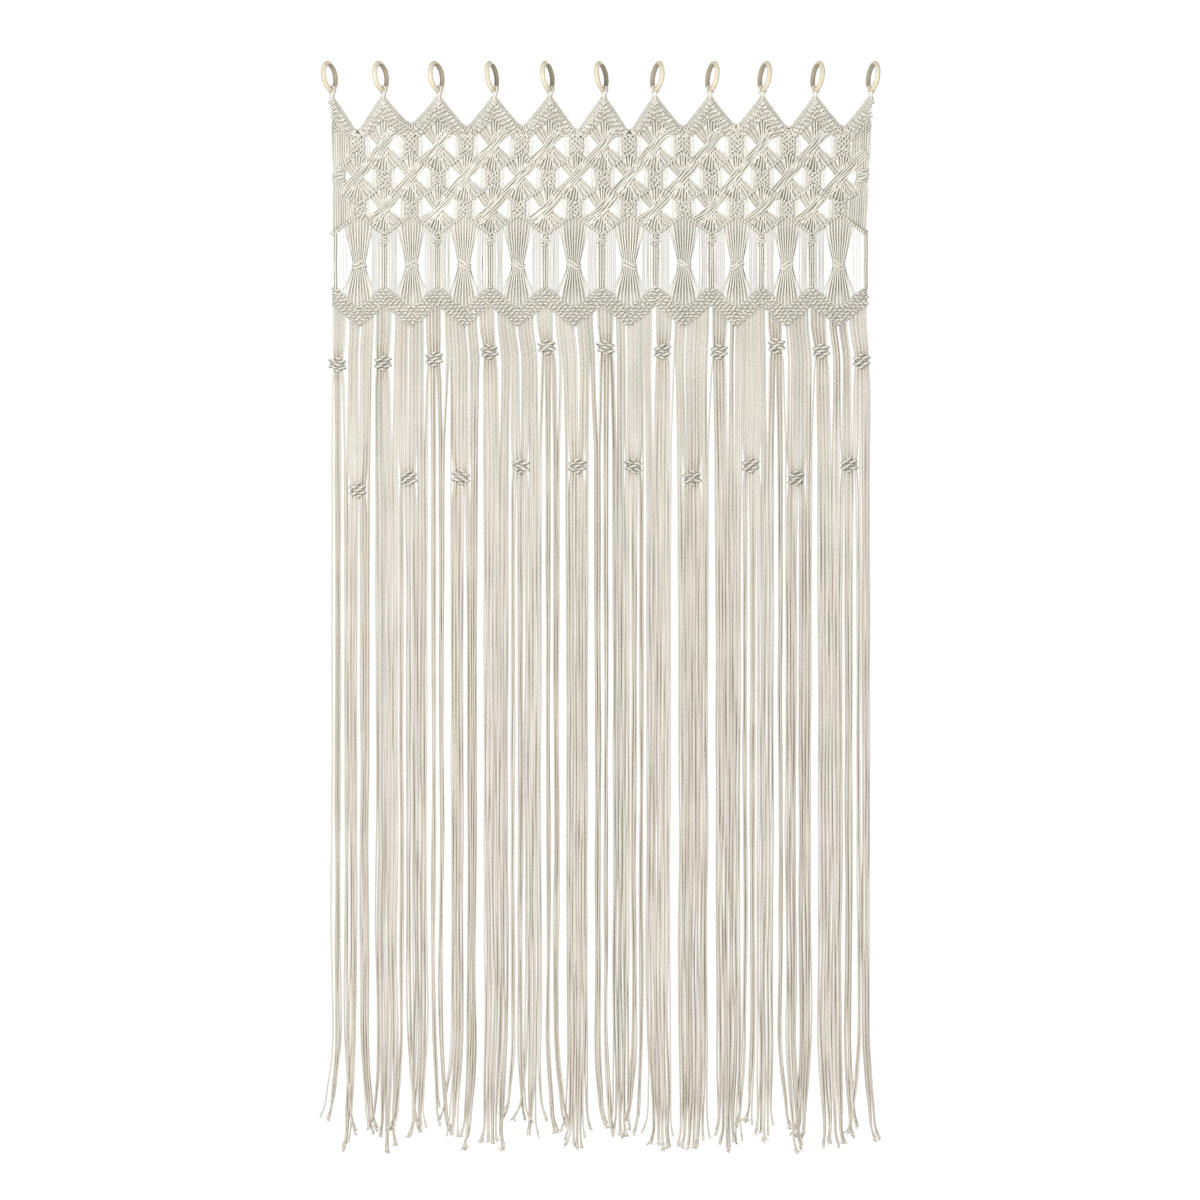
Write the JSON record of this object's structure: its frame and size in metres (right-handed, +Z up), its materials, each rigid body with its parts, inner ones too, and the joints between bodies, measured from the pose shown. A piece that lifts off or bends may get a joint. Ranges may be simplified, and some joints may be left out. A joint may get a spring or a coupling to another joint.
{
  "type": "macrame door curtain",
  "caption": "Knotted cotton door curtain: a peaked net heading of crossed cords and gathered bundles hung on wooden rings, with a long loose cord fringe.",
  "frame": {"origin": "on the line where a rod's top bears against the inside of the rings, near the middle of the curtain's width", "axes": "+X along the rod, to the right seen from the face; +Z up; the curtain's face looks along -Y"},
  "size_m": [1.0267, 0.0542, 1.9974],
  "materials": {
    "cotton_cord": "soft, undyed ivory cotton cord, twisted, with a faint sheen",
    "ring_wood": "pale sanded wood with a light satin wax"
  },
  "bodies": {
    "root": {"ring_01": "ring_wood", "ring_02": "ring_wood", "ring_03": "ring_wood", "ring_04": "ring_wood", "ring_05": "ring_wood", "ring_06": "ring_wood", "ring_07": "ring_wood", "ring_08": "ring_wood", "ring_09": "ring_wood", "ring_10": "ring_wood", "ring_11": "ring_wood", "net_heading": "cotton_cord", "fringe_comb": "cotton_cord"}
  },
  "joints": []
}
